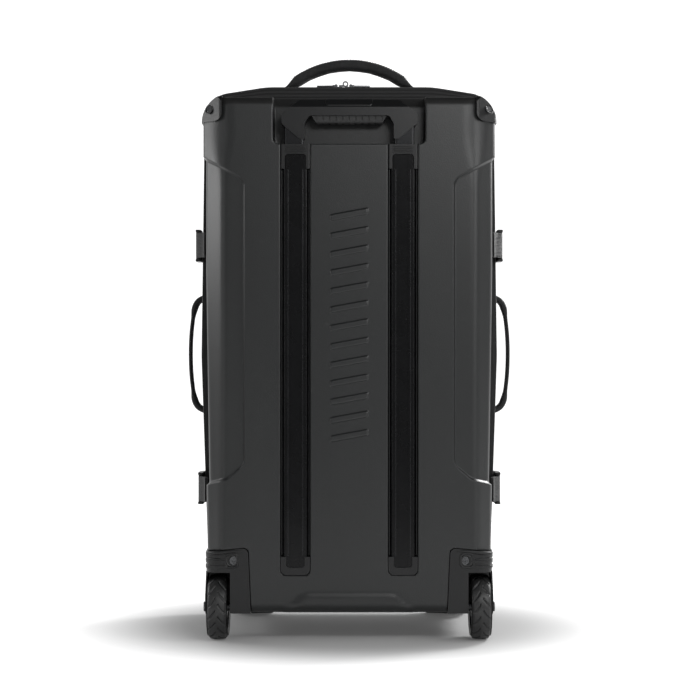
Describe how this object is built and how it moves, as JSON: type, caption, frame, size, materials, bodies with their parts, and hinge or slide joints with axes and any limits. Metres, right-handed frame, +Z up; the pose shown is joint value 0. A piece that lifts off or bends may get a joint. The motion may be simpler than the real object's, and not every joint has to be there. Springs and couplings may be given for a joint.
{
  "type": "wheeled equipment case",
  "caption": "Wheeled equipment case with a moulded hard rear shell, telescopic handle, corner wheels and a padded soft front half that opens on a zipper.",
  "frame": {"origin": "on the floor, at the middle of the case's width and depth", "axes": "+Z up, +X across the case, -Y out of the hard rear shell that carries the telescopic handle"},
  "size_m": [0.4774, 0.342, 0.84],
  "materials": {
    "shell_plastic": "fine-grained moulded",
    "trim_plastic": "satin black moulded",
    "grip_plastic": "satin black moulded",
    "grip_rubber": "soft-touch ribbed",
    "tyre_rubber": "moulded tread",
    "hub_plastic": "satin",
    "bearing_steel": "ground",
    "fixing_steel": "blackened",
    "outer_tube_metal": "black anodised",
    "inner_tube_metal": "bright anodised",
    "spring_steel": "drawn wire",
    "black_fabric": "coated ballistic weave",
    "panel_fabric": "padded coated weave",
    "webbing": "woven strap",
    "zipper_fabric": "tape with coil teeth",
    "buckle_plastic": "acetal",
    "slider_metal": "black nickel",
    "lining_fabric": "smooth lining"
  },
  "bodies": {
    "case": {"rear_shell": "shell_plastic", "corner_guards": "trim_plastic", "shell_rivets": "fixing_steel", "housing_bolts": "fixing_steel", "axles": "fixing_steel", "axle_spacers": "fixing_steel", "outer_tubes": "outer_tube_metal", "head_brackets": "trim_plastic", "foot_brackets": "trim_plastic", "wheel_housing_left": "trim_plastic", "wheel_housing_right": "trim_plastic", "seam_binding": "black_fabric", "main_zipper_rear": "zipper_fabric", "hinge_strip": "black_fabric", "buckle_sockets": "buckle_plastic", "socket_tabs": "webbing", "back_lining": "lining_fabric", "packing_straps": "webbing"},
    "wheel_left": {"tyre_left": "tyre_rubber", "wheel_hub_left": "hub_plastic", "wheel_bearings_left": "bearing_steel"},
    "wheel_right": {"tyre_right": "tyre_rubber", "wheel_hub_right": "hub_plastic", "wheel_bearings_right": "bearing_steel"},
    "trolley": {"inner_tubes": "inner_tube_metal", "lock_plugs": "trim_plastic", "grip_body": "grip_plastic", "grip_underside": "grip_rubber", "yoke_springs": "spring_steel"},
    "button": {"release_button": "grip_plastic", "release_yoke": "fixing_steel"},
    "lock_bolt_pair": {"lock_bolts": "fixing_steel"},
    "lid": {"top_panel": "panel_fabric", "bottom_panel": "panel_fabric", "side_panel_left": "panel_fabric", "side_panel_right": "panel_fabric", "front_panel": "panel_fabric", "rim_frame": "spring_steel", "main_zipper_front": "zipper_fabric", "upper_pocket": "black_fabric", "lower_pocket": "black_fabric", "pocket_zippers": "zipper_fabric", "compression_straps": "webbing", "handle_tabs": "webbing", "front_feet": "trim_plastic", "foot_screws": "fixing_steel"},
    "top_handle_body": {"top_handle": "black_fabric"},
    "side_handle_left_body": {"side_handle_left": "webbing"},
    "side_handle_right_body": {"side_handle_right": "webbing"},
    "slider_left": {"zipper_slider_left": "slider_metal"},
    "slider_right": {"zipper_slider_right": "slider_metal"},
    "pull_left": {"zipper_pull_left": "slider_metal"},
    "pull_right": {"zipper_pull_right": "slider_metal"},
    "pocket_slider_upper": {"upper_pocket_slider": "slider_metal"},
    "pocket_slider_lower": {"lower_pocket_slider": "slider_metal"},
    "plug_upper_left": {"buckle_plug_upper_left": "buckle_plastic"},
    "plug_upper_right": {"buckle_plug_upper_right": "buckle_plastic"},
    "plug_lower_left": {"buckle_plug_lower_left": "buckle_plastic"},
    "plug_lower_right": {"buckle_plug_lower_right": "buckle_plastic"}
  },
  "joints": [
    {"name": "trolley_slide", "type": "slide", "parent": "case", "child": "trolley", "axis": [0, 0, 1], "range_m": [0, 0.38]},
    {"name": "button_press", "type": "slide", "parent": "trolley", "child": "button", "axis": [0, 0, -1], "range_m": [0, 0.004], "stiffness_N_per_m": 900, "springref_m": -0.0015, "deforming": ["yoke_springs"]},
    {"name": "lock_bolt_draw", "type": "slide", "parent": "trolley", "child": "lock_bolt_pair", "axis": [0, -1, 0], "range_m": [0, 0.0024]},
    {"name": "lid_hinge", "type": "hinge", "parent": "case", "child": "lid", "pos_m": [0, -0.051, 0.041], "axis": [-1, 0, 0], "range_deg": [0, 120]},
    {"name": "top_handle_hinge", "type": "hinge", "parent": "lid", "child": "top_handle_body", "pos_m": [0, -0.009, 0.799], "axis": [1, 0, 0], "range_deg": [-25, 25], "stiffness_Nm_per_rad": 0.15},
    {"name": "wheel_left_spin", "type": "hinge", "parent": "case", "child": "wheel_left", "pos_m": [-0.1855, -0.125, 0.046], "axis": [1, 0, 0], "continuous": true},
    {"name": "side_handle_left_hinge", "type": "hinge", "parent": "lid", "child": "side_handle_left_body", "pos_m": [-0.2305, 0.011, 0.404], "axis": [0, 0, 1], "range_deg": [-20, 20], "stiffness_Nm_per_rad": 0.05},
    {"name": "zipper_slider_left_slide", "type": "slide", "parent": "case", "child": "slider_left", "axis": [-1, 0, 0], "range_m": [0, 0.08]},
    {"name": "zipper_pull_left_hinge", "type": "hinge", "parent": "slider_left", "child": "pull_left", "pos_m": [-0.0192, -0.051, 0.796], "axis": [0, 1, 0], "range_deg": [0, 100]},
    {"name": "plug_upper_left_slide", "type": "slide", "parent": "lid", "child": "plug_upper_left", "axis": [0, 1, 0], "range_m": [0, 0.03]},
    {"name": "plug_lower_left_slide", "type": "slide", "parent": "lid", "child": "plug_lower_left", "axis": [0, 1, 0], "range_m": [0, 0.03]},
    {"name": "wheel_right_spin", "type": "hinge", "parent": "case", "child": "wheel_right", "pos_m": [0.1855, -0.125, 0.046], "axis": [1, 0, 0], "continuous": true},
    {"name": "side_handle_right_hinge", "type": "hinge", "parent": "lid", "child": "side_handle_right_body", "pos_m": [0.2305, 0.011, 0.404], "axis": [0, 0, 1], "range_deg": [-20, 20], "stiffness_Nm_per_rad": 0.05},
    {"name": "zipper_slider_right_slide", "type": "slide", "parent": "case", "child": "slider_right", "axis": [1, 0, 0], "range_m": [0, 0.08]},
    {"name": "zipper_pull_right_hinge", "type": "hinge", "parent": "slider_right", "child": "pull_right", "pos_m": [0.0022, -0.051, 0.796], "axis": [0, -1, 0], "range_deg": [0, 100]},
    {"name": "plug_upper_right_slide", "type": "slide", "parent": "lid", "child": "plug_upper_right", "axis": [0, 1, 0], "range_m": [0, 0.03]},
    {"name": "plug_lower_right_slide", "type": "slide", "parent": "lid", "child": "plug_lower_right", "axis": [0, 1, 0], "range_m": [0, 0.03]},
    {"name": "pocket_slider_upper_slide", "type": "slide", "parent": "lid", "child": "pocket_slider_upper", "axis": [1, 0, 0], "range_m": [0, 0.22]},
    {"name": "pocket_slider_lower_slide", "type": "slide", "parent": "lid", "child": "pocket_slider_lower", "axis": [1, 0, 0], "range_m": [0, 0.25]}
  ],
  "couplings": [
    {"joint": "lock_bolt_draw", "follows": "button_press", "ratio": 0.6}
  ]
}
